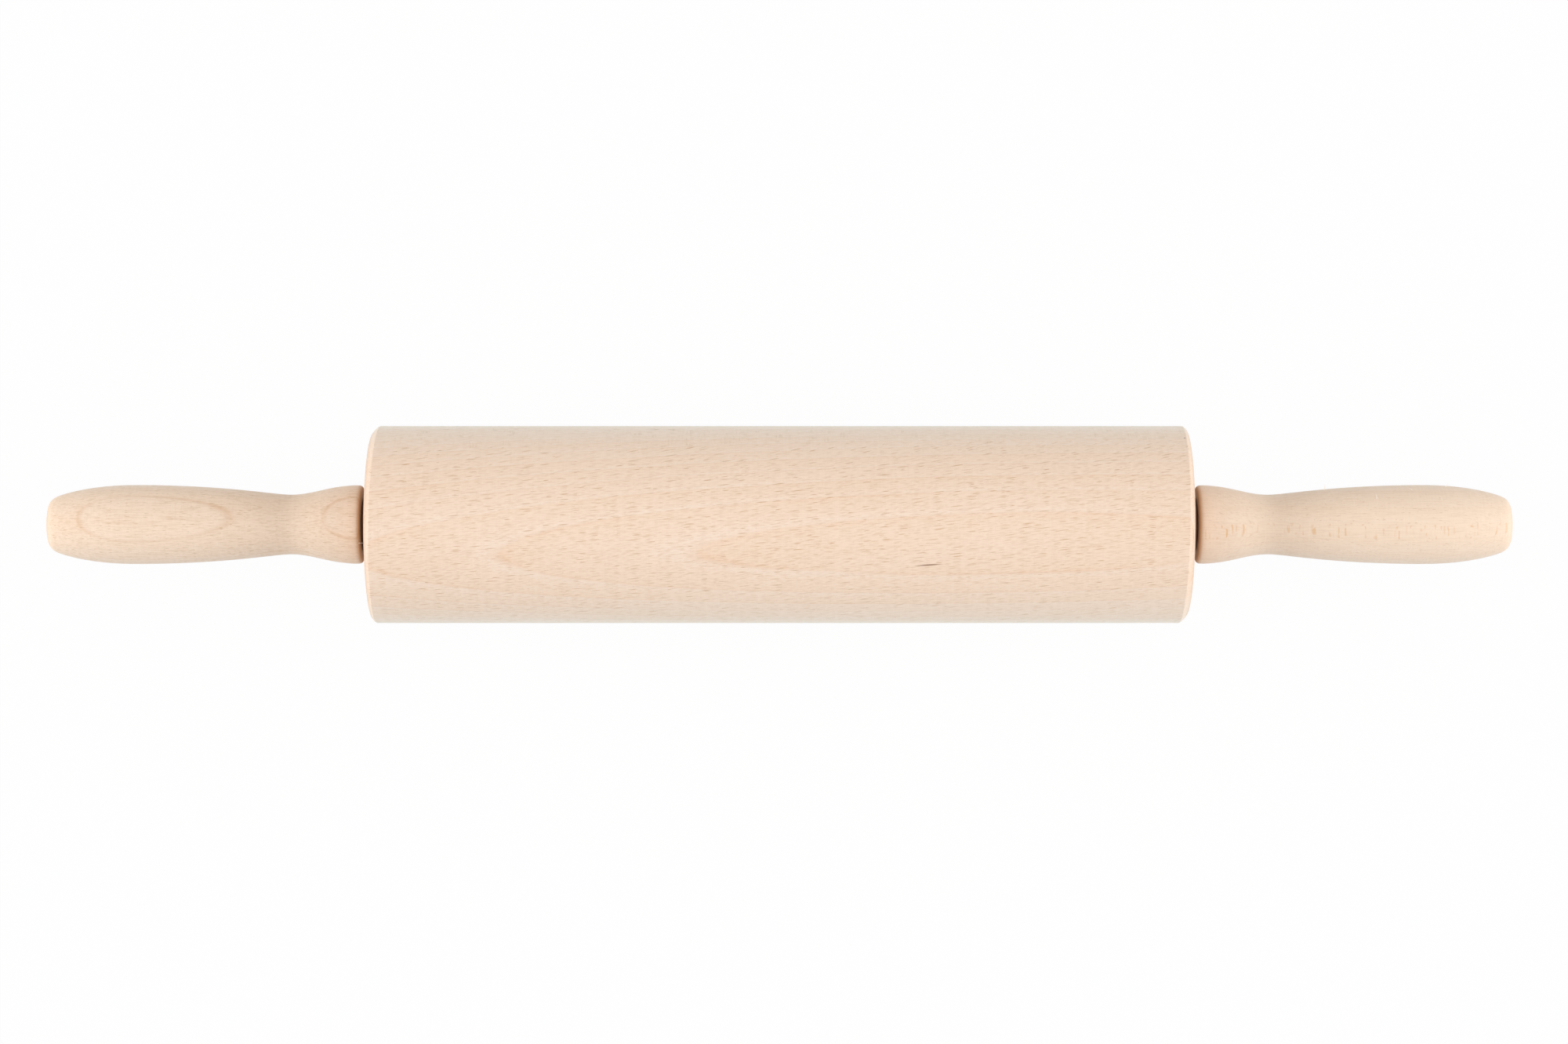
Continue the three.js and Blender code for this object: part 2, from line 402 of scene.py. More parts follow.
BILLET_TINTS = {
    "Early wood": ("#f6dfcc", "#f8e0cb", "#f8e1cb"),
    "Late wood": ("#f4d7bd", "#f2d3b4", "#f3d5b7"),
    "Line wood": ("#e6ba94", "#dcb088", "#e0b48c"),
    "Ray wood": ("#c3925a", "#c6a06f", "#d8b698"),
    "Fleck wood": ("#e6c9ae", "#e6c6a8", "#e6b478"),
    "End wood": ("#e2d8ce", "#eeeae6", "#eeeae6"),
}
print("numbers for each billet:", len(BILLET_NUMBERS))

# %% [markdown]
# ## Beech, seen as a tree trunk
# Beech has faint growth rings and short brown rays that run out from the pith like spokes. Painting lines
# on each piece would look pasted on. Here the wood is solid: every point works out how far it lies from
# the pith of its trunk and in which direction, so rings and rays cut the surface as in real timber. The
# same tree of nodes then gives cathedral arches on one piece and ray flecks on another.

# %% Where a point lies in the trunk
WANDER_PATCH_MM = (90.0, 22.0, 22.0)
WANDER_MM = 0.35
BOW_REACH_MM = 100.0

beech = bpy.data.node_groups.new("turned_beech", "ShaderNodeTree")
add_sockets(beech, "INPUT", dict.fromkeys(BILLET_NUMBERS, "Float") | dict.fromkeys(BILLET_TINTS, "Color"))
add_sockets(beech, "OUTPUT", {"Colour": "Color", "Roughness": "Float", "Height": "Float"})
wood = add_node(beech, "NodeGroupInput").outputs


def stretched_noise(tree, position, patch, detail):
    """Smooth noise whose patches have this size along X, Y and Z."""
    shares = tuple(1 / size for size in patch)
    at = add_node(tree, VECTOR_MATH, {0: position, 1: shares}, operation="MULTIPLY")
    return add_node(tree, "ShaderNodeTexNoise", {"Vector": at, "Scale": 1.0, "Detail": detail})


coordinates = add_node(beech, "ShaderNodeTexCoord")
in_mm = add_node(beech, VECTOR_MATH, {0: coordinates.outputs["Object"], "Scale": 1 / MM}, operation="SCALE")
wander = stretched_noise(beech, in_mm, WANDER_PATCH_MM, detail=2.0)
wander_middle = add_node(beech, VECTOR_MATH, {
    0: wander.outputs["Color"], 1: (0.5, 0.5, 0.5)}, operation="SUBTRACT")
wander_step = add_node(beech, VECTOR_MATH, {0: wander_middle, "Scale": 2 * WANDER_MM}, operation="SCALE")
grain_place = add_node(beech, VECTOR_MATH, {0: in_mm, 1: wander_step}, operation="ADD")
grain = add_node(beech, "ShaderNodeSeparateXYZ", {"Vector": grain_place}).outputs
across_drift = add_node(beech, MATH, {
    0: grain["X"], 1: wood["Drift"], 2: grain["Y"]}, operation="MULTIPLY_ADD")
across = add_node(beech, MATH, {0: across_drift, 1: wood["Pith across"]}, operation="SUBTRACT")
up_rise = add_node(beech, MATH, {0: grain["X"], 1: wood["Rise"], 2: grain["Z"]}, operation="MULTIPLY_ADD")
bow_share = add_node(beech, MATH, {0: grain["X"], 1: BOW_REACH_MM}, operation="DIVIDE")
bow_power = add_node(beech, MATH, {0: bow_share, 1: bow_share}, operation="MULTIPLY")
up_bow = add_node(beech, MATH, {0: bow_power, 1: wood["Bow"], 2: up_rise}, operation="MULTIPLY_ADD")
up = add_node(beech, MATH, {0: up_bow, 1: wood["Pith up"]}, operation="SUBTRACT")
from_pith = add_node(beech, "ShaderNodeCombineXYZ", {"Y": across, "Z": up})
pith_distance = add_node(beech, VECTOR_MATH, {0: from_pith}, operation="LENGTH").outputs["Value"]
pith_turn = add_node(beech, MATH, {0: across, 1: up}, operation="ARCTAN2")
trunk_place = add_node(beech, "ShaderNodeCombineXYZ", {"X": grain["X"], "Y": across, "Z": up})
print("grain wanders by", WANDER_MM, "mm")

# %% [markdown]
# The wood is full of fibres and pores that run along the trunk. They show as fine streaks, and they fray
# every other line in the wood a little. A noise stretched along the trunk draws them, longer in one billet
# than in another, and a second noise draws the broad bands of darker and paler tone.

# %% Fibres and tone
FIBRE_WIDTH_MM = 0.34       # a real pore is 0.1 mm wide: drawn coarser, so that it shows
PORE_SPAN = {"From Min": 0.45, "From Max": 0.75}    # of the noise, from no pore to a deep one
TONE_MM = (70.0, 7.0, 7.0)
TONE_SPAN = {"From Min": 0.3, "From Max": 0.7}

fibre_along = add_node(beech, MATH, {0: grain["X"], 1: wood["Fibre length"]}, operation="DIVIDE")
fibre_place = add_node(beech, "ShaderNodeCombineXYZ", {"X": fibre_along, "Y": across, "Z": up})
fibres = stretched_noise(beech, fibre_place, (1.0, FIBRE_WIDTH_MM, FIBRE_WIDTH_MM), detail=2.0)
pores = add_node(beech, MAP_RANGE, {"Value": fibres, **PORE_SPAN})
tone_noise = stretched_noise(beech, trunk_place, TONE_MM, detail=3.0)
tone = add_node(beech, MAP_RANGE, {"Value": tone_noise, **TONE_SPAN})
print("fibre streaks:", FIBRE_WIDTH_MM, "mm apart")

# %% [markdown]
# Each ring starts pale in spring, turns a little more orange through the summer and ends in a hair line
# of late wood, which comes and goes with the tone. Next to that line the pale wood of the next spring
# starts at once, so a ring has one soft and one crisp side. No two rings are equally strong.

# %% Growth rings
RING_TONE = ((0.0, 0.0), (0.1, 0.05), (0.27, 0.55), (0.75, 0.7), (1.0, 1.0))
RING_POWER = {"To Min": 0.6, "To Max": 1.0}     # of the weakest ring and the strongest
FADE_OUT = {"To Min": 1.0, "To Max": 0.0}

frayed = add_node(beech, MATH, {0: fibres, 1: wood["Fray"], 2: pith_distance}, operation="MULTIPLY_ADD")
ring_count = add_node(beech, MATH, {0: frayed, 1: wood["Ring width"]}, operation="DIVIDE")
ring_place = add_node(beech, MATH, {0: ring_count, 1: wood["Ring start"]}, operation="SUBTRACT")
ring_share = add_node(beech, MATH, {0: ring_place}, operation="FRACT")
ring_number = add_node(beech, MATH, {0: ring_place}, operation="FLOOR")
ring_tone = add_node(beech, "ShaderNodeValToRGB", {"Fac": ring_share})
stops = ring_tone.color_ramp.elements
while len(stops) < len(RING_TONE):
    stops.new(1.0)
for stop, (share, level) in zip(stops, RING_TONE):
    stop.position = share
    stop.color = (level, level, level, 1.0)
ring_chance = add_node(beech, "ShaderNodeTexWhiteNoise", {"W": ring_number}, noise_dimensions="1D")
ring_power = add_node(beech, MAP_RANGE, {"Value": ring_chance, **RING_POWER})
tone_power = add_node(beech, MATH, {0: ring_power, 1: wood["Ring strength"]}, operation="MULTIPLY")
ring_amount = add_node(beech, MATH, {0: ring_tone, 1: tone_power}, operation="MULTIPLY")
edge_share = add_node(beech, MATH, {0: ring_share, 1: 0.5}, operation="PINGPONG")
to_ring_edge = add_node(beech, MATH, {0: edge_share, 1: wood["Ring width"]}, operation="MULTIPLY")
ring_line = add_node(beech, MAP_RANGE, {
    "Value": to_ring_edge, "From Max": wood["Line width"], **FADE_OUT}, interpolation_type="SMOOTHSTEP")
line_power = add_node(beech, MATH, {0: ring_power, 1: wood["Line strength"]}, operation="MULTIPLY")
line_patches = add_node(beech, MATH, {0: line_power, 1: tone}, operation="MULTIPLY")
line_amount = add_node(beech, MATH, {0: ring_line, 1: line_patches}, operation="MULTIPLY")
print("ring tone stops:", [round(stop.position, 3) for stop in stops])

# %% [markdown]
# Rays are ribbons that point at the pith. Cut end on, a ribbon is a thin dark dash. Where the surface runs
# along the ribbons they lie flat in it, and show as broad flecks, more orange and broken into bars. How far
# the surface leans over tells the two apart. A dash gets thinner with the lean until the ribbon lies almost
# flat, and then it spreads, because it shines through the wood above it. A ribbon is rounded, so it thins
# with the square root of the cosine. End grain shows only a trace of the rays.

# %% How flat the rays lie
ALMOST_FLAT = math.sin(math.radians(77))
FLAT = math.sin(math.radians(83))
FLECK_SPREAD = 3.0
RAY_FADE = {"From Min": 0.4, "From Max": 0.7}    # how far the surface turns endwise where rays fade
END_RAY_SHARE = 0.3

surface_way = add_node(beech, "ShaderNodeSeparateXYZ", {"Vector": coordinates.outputs["Normal"]}).outputs
sideways = add_node(beech, "ShaderNodeCombineXYZ", {"Y": surface_way["Y"], "Z": surface_way["Z"]})
side_way = add_node(beech, VECTOR_MATH, {0: sideways}, operation="NORMALIZE")
lean = add_node(beech, VECTOR_MATH, {0: from_pith, 1: side_way}, operation="CROSS_PRODUCT")
lean_along = add_node(beech, "ShaderNodeSeparateXYZ", {"Vector": lean}).outputs["X"]
lean_size = add_node(beech, MATH, {0: lean_along}, operation="ABSOLUTE")
lean_share = add_node(beech, MATH, {0: lean_size, 1: pith_distance}, operation="DIVIDE")
lies_flat = add_node(beech, MAP_RANGE, {
    "Value": lean_share, "From Min": ALMOST_FLAT, "From Max": FLAT}, interpolation_type="SMOOTHSTEP")
lean_angle = add_node(beech, MATH, {0: lean_share}, operation="ARCSINE")
lean_cosine = add_node(beech, MATH, {0: lean_angle}, operation="COSINE")
end_on = add_node(beech, MATH, {0: lean_cosine}, operation="SQRT")
spread = add_node(beech, MATH, {0: lies_flat, 1: FLECK_SPREAD}, operation="MULTIPLY")
ray_width = add_node(beech, MATH, {0: end_on, 1: spread}, operation="MAXIMUM")
endwise = add_node(beech, MATH, {0: surface_way["X"]}, operation="ABSOLUTE")
side_grain = add_node(beech, MAP_RANGE, {
    "Value": endwise, **RAY_FADE, "To Min": 1.0, "To Max": END_RAY_SHARE})
print("rays lie flat from a lean share of", round(ALMOST_FLAT, 3))

# %% [markdown]
# A ribbon is a few tenths of a millimetre thick and some millimetres long along the grain. Voronoi cells
# scatter the ribbons, and inside each cell the distance to the cell's own point draws one lens-shaped
# ribbon, with its own length, thickness and depth of colour.

# %% Rays, coarse and fine
COARSE_RAYS = (1.0, 1.0, 0.13, 0.26)    # shares of spacing and length, least and most half thickness in mm
FINE_RAYS = (0.55, 0.6, 0.08, 0.16)
RIBBON_HALF = {"To Min": 0.2, "To Max": 0.5}    # shortest and longest half, as shares of a cell
RIBBON_CORE = 0.35          # share of the way out to which a ribbon stays dark
RIBBONLESS_SHARE = 0.1      # of the cells, which show no ribbon


def ray_layer(angle_share, length_share, thin_mm, thick_mm):
    """A mask of ribbons, with cells as large as these shares of the wood's ray spacing and length."""
    angle = add_node(beech, MATH, {0: wood["Ray angle"], 1: angle_share}, operation="MULTIPLY")
    length = add_node(beech, MATH, {0: wood["Ray length"], 1: length_share}, operation="MULTIPLY")
    depth = add_node(beech, MATH, {0: pith_distance, 1: wood["Ray depth"]}, operation="DIVIDE")
    cell_turn = add_node(beech, MATH, {0: pith_turn, 1: angle}, operation="DIVIDE")
    cell_along = add_node(beech, MATH, {0: grain["X"], 1: length}, operation="DIVIDE")
    cell_place = add_node(beech, "ShaderNodeCombineXYZ", {"X": depth, "Y": cell_turn, "Z": cell_along})
    cells = add_node(beech, "ShaderNodeTexVoronoi", {"Vector": cell_place, "Scale": 1.0}).outputs
    chance = add_node(beech, "ShaderNodeSeparateColor", {"Color": cells["Color"]}).outputs
    off_centre = add_node(beech, VECTOR_MATH, {0: cell_place, 1: cells["Position"]}, operation="SUBTRACT")
    off = add_node(beech, "ShaderNodeSeparateXYZ", {"Vector": off_centre}).outputs
    off_turn = add_node(beech, MATH, {0: off["Y"], 1: angle}, operation="MULTIPLY")
    off_across = add_node(beech, MATH, {0: off_turn, 1: pith_distance}, operation="MULTIPLY")
    usual_half = add_node(beech, MAP_RANGE, {"Value": chance["Red"], "To Min": thin_mm, "To Max": thick_mm})
    own_half = add_node(beech, MATH, {0: usual_half, 1: wood["Ray thickness"]}, operation="MULTIPLY")
    half_thickness = add_node(beech, MATH, {0: own_half, 1: ray_width}, operation="MULTIPLY")
    half_length = add_node(beech, MAP_RANGE, {"Value": chance["Green"], **RIBBON_HALF})
    across_share = add_node(beech, MATH, {0: off_across, 1: half_thickness}, operation="DIVIDE")
    along_share = add_node(beech, MATH, {0: off["Z"], 1: half_length}, operation="DIVIDE")
    off_share = add_node(beech, "ShaderNodeCombineXYZ", {"X": across_share, "Y": along_share})
    reach = add_node(beech, VECTOR_MATH, {0: off_share}, operation="LENGTH").outputs["Value"]
    ribbon = add_node(beech, MAP_RANGE, {
        "Value": reach, "From Min": RIBBON_CORE, **FADE_OUT}, interpolation_type="SMOOTHSTEP")
    darkness = add_node(beech, MAP_RANGE, {"Value": chance["Blue"], "From Min": RIBBONLESS_SHARE})
    return add_node(beech, MATH, {0: ribbon, 1: darkness}, operation="MULTIPLY")


coarse_amount = add_node(beech, MATH, {
    0: ray_layer(*COARSE_RAYS), 1: wood["Ray strength"]}, operation="MULTIPLY")
fine_amount = add_node(beech, MATH, {
    0: ray_layer(*FINE_RAYS), 1: wood["Fine ray strength"]}, operation="MULTIPLY")
ray_amount = add_node(beech, MATH, {0: coarse_amount, 1: fine_amount}, operation="MAXIMUM")
print("ray ribbons: two layers")

# %% [markdown]
# The flat flecks take their own tint, and bars square to the grain break them up.

# %% Tint and bars of the flecks
FLECK_BAR_MM = (0.5, 6.0, 6.0)
BAR_SPAN = {"From Min": 0.4, "From Max": 0.6}

ray_tint = add_node(beech, MIX, {
    0: lies_flat, 6: wood["Ray wood"], 7: wood["Fleck wood"]}, data_type="RGBA")
bar_noise = stretched_noise(beech, in_mm, FLECK_BAR_MM, detail=0.0)
bars = add_node(beech, MAP_RANGE, {"Value": bar_noise, **BAR_SPAN})
bar_share = add_node(beech, MIX, {0: lies_flat, 2: 1.0, 3: bars})
barred = add_node(beech, MATH, {0: ray_amount, 1: bar_share}, operation="MULTIPLY")
ray_shown = add_node(beech, MATH, {0: barred, 1: side_grain}, operation="MULTIPLY")
print("fleck bars:", FLECK_BAR_MM[0], "mm apart")

# %% [markdown]
# The tool leaves its own marks: hardly visible lines square to the axis, and here and there a torn fibre
# that stands up and catches the light, drawn as a pale tick: a painted highlight.

# %% Lathe lines and torn fibres
LATHE_LINE_MM = (0.55, 9.0, 9.0)
LATHE_SPAN = {"From Min": 0.3, "From Max": 0.7}
TICK_CELL_MM = (2.2, 3.0, 3.0)
TICK_HALF_MM = (0.16, 0.9, 0.9)
TICK_CORE = 0.3
TICKLESS_SHARE = 0.45       # of the cells, which hold no tick

lathe_noise = stretched_noise(beech, in_mm, LATHE_LINE_MM, detail=1.0)
lathe_lines = add_node(beech, MAP_RANGE, {"Value": lathe_noise, **LATHE_SPAN})
tick_place = add_node(beech, VECTOR_MATH, {
    0: in_mm, 1: tuple(1 / size for size in TICK_CELL_MM)}, operation="MULTIPLY")
tick_cells = add_node(beech, "ShaderNodeTexVoronoi", {"Vector": tick_place, "Scale": 1.0}).outputs
tick_off = add_node(beech, VECTOR_MATH, {0: tick_place, 1: tick_cells["Position"]}, operation="SUBTRACT")
tick_share = add_node(beech, VECTOR_MATH, {
    0: tick_off, 1: tuple(cell / half for cell, half in zip(TICK_CELL_MM, TICK_HALF_MM))},
    operation="MULTIPLY")
tick_reach = add_node(beech, VECTOR_MATH, {0: tick_share}, operation="LENGTH").outputs["Value"]
tick = add_node(beech, MAP_RANGE, {
    "Value": tick_reach, "From Min": TICK_CORE, **FADE_OUT}, interpolation_type="SMOOTHSTEP")
tick_chance = add_node(beech, "ShaderNodeSeparateColor", {"Color": tick_cells["Color"]}).outputs["Red"]
tick_power = add_node(beech, MAP_RANGE, {"Value": tick_chance, "From Min": TICKLESS_SHARE})
tick_shown = add_node(beech, MATH, {0: tick, 1: tick_power}, operation="MULTIPLY")
tick_amount = add_node(beech, MATH, {0: tick_shown, 1: wood["Tick strength"]}, operation="MULTIPLY")
print("lathe lines:", LATHE_LINE_MM[0], "mm apart")

# %% [markdown]
# Where the turned surface runs square to the grain, on the ends of barrel and handles, the cut fibres drink
# in the light, so end grain is darker and browner. The direction of the surface tells where that is, and a
# tint multiplied there keeps the arcs of the rings, whose lines are clearer on a cut end. All other marks
# are laid over each other like glazes, from the tone of the rings up to the torn fibres.

# %% Lay the marks over each other
TONE_SHARE = 0.22           # how much of the late wood's tint the tone bands give
# near-white tint of the torn fibres' ticks: a painted highlight
TORN_HIGHLIGHT_TINT = "#fff2e2"
END_FROM = 0.55             # how far the surface turns endwise where end grain starts
END_LINES = 3.0             # how much clearer ring lines are on a cut end

end_amount = add_node(beech, MAP_RANGE, {
    "Value": endwise, "From Min": END_FROM, "From Max": 1.0}, interpolation_type="SMOOTHSTEP")
end_lines = add_node(beech, MAP_RANGE, {"Value": end_amount, "To Min": 1.0, "To Max": END_LINES})
line_shown = add_node(beech, MATH, {0: line_amount, 1: end_lines}, operation="MULTIPLY", use_clamp=True)
late_amount = add_node(beech, MATH, {
    0: tone, 1: TONE_SHARE, 2: ring_amount}, operation="MULTIPLY_ADD", use_clamp=True)
pore_amount = add_node(beech, MATH, {0: pores, 1: wood["Pore strength"]}, operation="MULTIPLY")
lathe_amount = add_node(beech, MATH, {0: lathe_lines, 1: wood["Lathe strength"]}, operation="MULTIPLY")
layers = (
    (late_amount, wood["Late wood"]), (line_shown, wood["Line wood"]), (pore_amount, wood["Ray wood"]),
    (ray_shown, ray_tint), (lathe_amount, wood["Ray wood"]), (tick_amount, colour(TORN_HIGHLIGHT_TINT)),
)
tinted = wood["Early wood"]
for amount, tint in layers:
    tinted = add_node(beech, MIX, {0: amount, 6: tinted, 7: tint}, data_type="RGBA")
ended = add_node(beech, MIX, {
    0: end_amount, 6: tinted, 7: wood["End wood"]}, data_type="RGBA", blend_type="MULTIPLY")
print("layers of colour:", len(layers))

# %% [markdown]
# The collars of the handles get painted shade: a little grey where they face the barrel, and brown right
# beside the slit. Both fade along the axle, so they need only the distance from the middle of the pin.

# %% Painted shade on the collars
COLLAR_SHADE_MM = {"From Min": 134.0, "From Max": 146.0}
COLLAR_SHADE_DEPTH = 0.08
COLLAR_SHADE_TINT = "#967d69"
SLIT_SHADE_MM = {"From Min": 126.6, "From Max": 129.4}
SLIT_SHADE_POWER = 3.0
SLIT_SHADE_TINT = "#a8743c"

along = add_node(beech, "ShaderNodeSeparateXYZ", {"Vector": in_mm}).outputs["X"]
from_middle = add_node(beech, MATH, {0: along}, operation="ABSOLUTE")
# painted shade: grey on the collars beside the barrel, which keeps light off them
collar_shade = add_node(beech, MAP_RANGE, {
    "Value": from_middle, **COLLAR_SHADE_MM, "To Min": COLLAR_SHADE_DEPTH, "To Max": 0.0}, interpolation_type="SMOOTHSTEP")
# painted shade: brown on the collar's corner and end face in the slit between barrel and handle
beside_slit = add_node(beech, MAP_RANGE, {"Value": from_middle, **SLIT_SHADE_MM, **FADE_OUT})
slit_shade = add_node(beech, MATH, {0: beside_slit, 1: SLIT_SHADE_POWER}, operation="POWER")
collar_shaded = ended
for depth, tint in ((collar_shade, COLLAR_SHADE_TINT), (slit_shade, SLIT_SHADE_TINT)):
    amount = add_node(beech, MATH, {0: depth, 1: wood["Collar shade"]}, operation="MULTIPLY")
    collar_shaded = add_node(beech, MIX, {0: amount, 6: collar_shaded, 7: colour(tint)}, data_type="RGBA")
# how far from the middle the painted grey shade on the collars reaches
print("collars rubbed as far as", COLLAR_SHADE_MM["From Max"], "mm from the middle")

# %% [markdown]
# Open pores are rougher than the wood round them. Rays and pores lie a little deeper than the rest of the
# surface, and lathe lines and torn fibres stand a little higher.

# %% Gloss and relief
ROUGHNESS = {"To Min": 0.5, "To Max": 0.64}
LATHE_RIDGE = 0.15

roughness = add_node(beech, MAP_RANGE, {"Value": pores, **ROUGHNESS})
sunk = add_node(beech, MATH, {0: ray_shown, 1: pore_amount}, operation="ADD")
ridged = add_node(beech, MATH, {0: lathe_lines, 1: LATHE_RIDGE, 2: tick_amount}, operation="MULTIPLY_ADD")
height = add_node(beech, MATH, {0: ridged, 1: sunk}, operation="SUBTRACT")
add_node(beech, "NodeGroupOutput", {"Colour": collar_shaded, "Roughness": roughness, "Height": height})
print("beech tree:", len(beech.nodes), "nodes")

# %% [markdown]
# ## Bare wood
# Bare sanded wood is matt, with the usual index of 1.5, and the fuzz of cut fibres gives it a cool sheen at
# a low angle, which use has mostly rubbed off the handles. The barrel also has a dark streak and a speck,
# which lie where they lie on the real one.

# %% Beech materials
BUMP_MM = 0.05
BUMP_STRENGTH = 0.5
WOOD_IOR = 1.5
SHEEN_ROUGHNESS = 0.5
SHEEN_TINT = "#e6ffff"
MARK_TILT = math.radians(4)
MARK_CORE = 0.2
MARK_DEPTH = 0.9
BARREL_MARKS = {  # place and half size, both in mm, and the tint
    "streak": ((44.2, -12.0, 27.5), (5.0, 0.34, 4.0), "#8f6647"),
    "speck": ((121.7, 26.0, 15.0), (0.4, 0.35, 0.5), "#7d604e"),
}


def marked(tree, base, marks):
    """The base colour with each small dark mark laid over it, tilted with the grain."""
    spot = add_node(tree, "ShaderNodeTexCoord")
    for place, half_size, tint in marks.values():
        off = add_node(tree, VECTOR_MATH, {
            0: spot.outputs["Object"], 1: tuple(value * MM for value in place)}, operation="SUBTRACT")
        turned_off = add_node(tree, "ShaderNodeVectorRotate", {
            "Vector": off, "Angle": -MARK_TILT}, rotation_type="Z_AXIS")
        share = add_node(tree, VECTOR_MATH, {
            0: turned_off, 1: tuple(1 / (half * MM) for half in half_size)}, operation="MULTIPLY")
        reach = add_node(tree, VECTOR_MATH, {0: share}, operation="LENGTH").outputs["Value"]
        amount = add_node(tree, MAP_RANGE, {
            "Value": reach, "From Min": MARK_CORE, "To Min": MARK_DEPTH, "To Max": 0.0},
            interpolation_type="SMOOTHSTEP")
        base = add_node(tree, MIX, {0: amount, 6: base, 7: colour(tint)}, data_type="RGBA")
    return base


def beech_material(name, column, sheen, marks):
    """Bare turned beech from the billet in this column: matt, warm and full of short brown dashes."""
    material, tree = new_material(name)
    billet = add_node(tree, "ShaderNodeGroup", node_tree=beech)
    for socket, row in BILLET_NUMBERS.items():
        billet.inputs[socket].default_value = row[column]
    for socket, row in BILLET_TINTS.items():
        billet.inputs[socket].default_value = colour(row[column])
    bump = add_node(tree, "ShaderNodeBump", {
        "Height": billet.outputs["Height"], "Distance": BUMP_MM * MM, "Strength": BUMP_STRENGTH})
    base = marked(tree, billet.outputs["Colour"], marks)
    surface = add_node(tree, "ShaderNodeBsdfPrincipled", {
        "Base Color": base, "Roughness": billet.outputs["Roughness"], "Normal": bump, "IOR": WOOD_IOR,
        "Sheen Weight": sheen, "Sheen Roughness": SHEEN_ROUGHNESS, "Sheen Tint": colour(SHEEN_TINT)})
    add_node(tree, "ShaderNodeOutputMaterial", {"Surface": surface})
    return material


barrel_beech = beech_material("flat_sawn_beech", 0, sheen=0.35, marks=BARREL_MARKS)
left_beech = beech_material("ring_skin_beech", 1, sheen=0.1, marks={})
right_beech = beech_material("quarter_sawn_beech", 2, sheen=0.1, marks={})
print("beech materials:", [m.name for m in (barrel_beech, left_beech, right_beech)])

# %% [markdown]
# ## Nylon, steel and hard fibre
# The bushes are moulded nylon in its natural milky white, and a soft satin gloss with faint flow marks is
# all that it shows. The axle is bright steel, with fine lines along the direction in which it was drawn.
# The washers are punched from hard fibre, pressed paper pulp, brown and matt.

# %% Nylon, steel and fibre materials
FLOW_MARK_MM = (4.0, 4.0, 4.0)
DRAWN_LINE_MM = (12.0, 0.25, 0.25)
PULP_MM = (0.8, 0.8, 0.8)
RELIEF_MM = 0.02
RELIEF_STRENGTH = 0.4


def plain_material(name, tints, marks_mm, rough, **constants):
    """A moulded, drawn or pressed surface: two tints that mingle, with marks in gloss and relief."""
    material, tree = new_material(name)
    spot = add_node(tree, "ShaderNodeTexCoord")
    marks = stretched_noise(tree, spot.outputs["Object"], [size * MM for size in marks_mm], detail=3.0)
    tint = add_node(tree, MIX, {0: marks, 6: colour(tints[0]), 7: colour(tints[1])}, data_type="RGBA")
    gloss = add_node(tree, MAP_RANGE, {"Value": marks, "To Min": rough[0], "To Max": rough[1]})
    bump = add_node(tree, "ShaderNodeBump", {
        "Height": marks, "Distance": RELIEF_MM * MM, "Strength": RELIEF_STRENGTH})
    surface = add_node(tree, "ShaderNodeBsdfPrincipled", {
        "Base Color": tint, "Roughness": gloss, "Normal": bump, **constants})
    add_node(tree, "ShaderNodeOutputMaterial", {"Surface": surface})
    return material


nylon = plain_material(
    "moulded_nylon", ("#efebe0", "#e6e1d3"), FLOW_MARK_MM, (0.36, 0.5), IOR=1.53)
steel = plain_material(
    "bright_drawn_steel", ("#c2c4c6", "#aeb0b3"), DRAWN_LINE_MM, (0.22, 0.42), Metallic=1.0)
hard_fibre = plain_material(
    "hard_fibre", ("#6c4a30", "#543720"), PULP_MM, (0.55, 0.75), IOR=1.5)
print("other materials:", nylon.name, steel.name, hard_fibre.name)

# %% [markdown]
# ## Turn the pieces
# Each outline becomes a strip of edges in the XZ plane, the lathe tree spins it, and the result is kept as
# a plain mesh. The modifier's inputs are set by socket identifier before anything is evaluated.

# %% Spin every outline
SIDES = {"barrel": 256, "handle": 160, "bearing_bush": 96, "thrust_washer": 96}
FINISHES = {
    "barrel": (barrel_beech, "roller", "barrel_beech"),
    "left_handle": (left_beech, "handle_set", "handle_beech"),
    "right_handle": (right_beech, "handle_set", "handle_beech"),
    "left_bearing_bush": (nylon, "roller", "nylon"),
    "right_bearing_bush": (nylon, "roller", "nylon"),
    "left_thrust_washer": (hard_fibre, "handle_set", "hard_fibre"),
    "right_thrust_washer": (hard_fibre, "handle_set", "hard_fibre"),
}


def grown(name, start, tree, settings):
    """A new object with the plain mesh that this Geometry Nodes tree makes from the start mesh."""
    piece = bpy.data.objects.new(name, start)
    scene.collection.objects.link(piece)
    growth = piece.modifiers.new("growth", "NODES")
    growth.node_group = tree
    for identifier, value in settings.items():
        growth[identifier] = value
    depsgraph = bpy.context.evaluated_depsgraph_get()
    mesh = bpy.data.meshes.new_from_object(piece.evaluated_get(depsgraph))
    piece.modifiers.remove(growth)
    piece.data = mesh
    bpy.data.meshes.remove(start)
    return piece


def turned_piece(name, points, sides, material):
    """A new object with this outline spun round the X axis."""
    strip = bpy.data.meshes.new(f"{name}_outline")
    links = [(i, i + 1) for i in range(len(points) - 1)]
    strip.from_pydata([(along, 0, radius) for along, radius in points], links, [])
    settings = {lathe_inputs["Sides"]: sides, lathe_inputs["Finish"]: material}
    return grown(name, strip, lathe, settings)


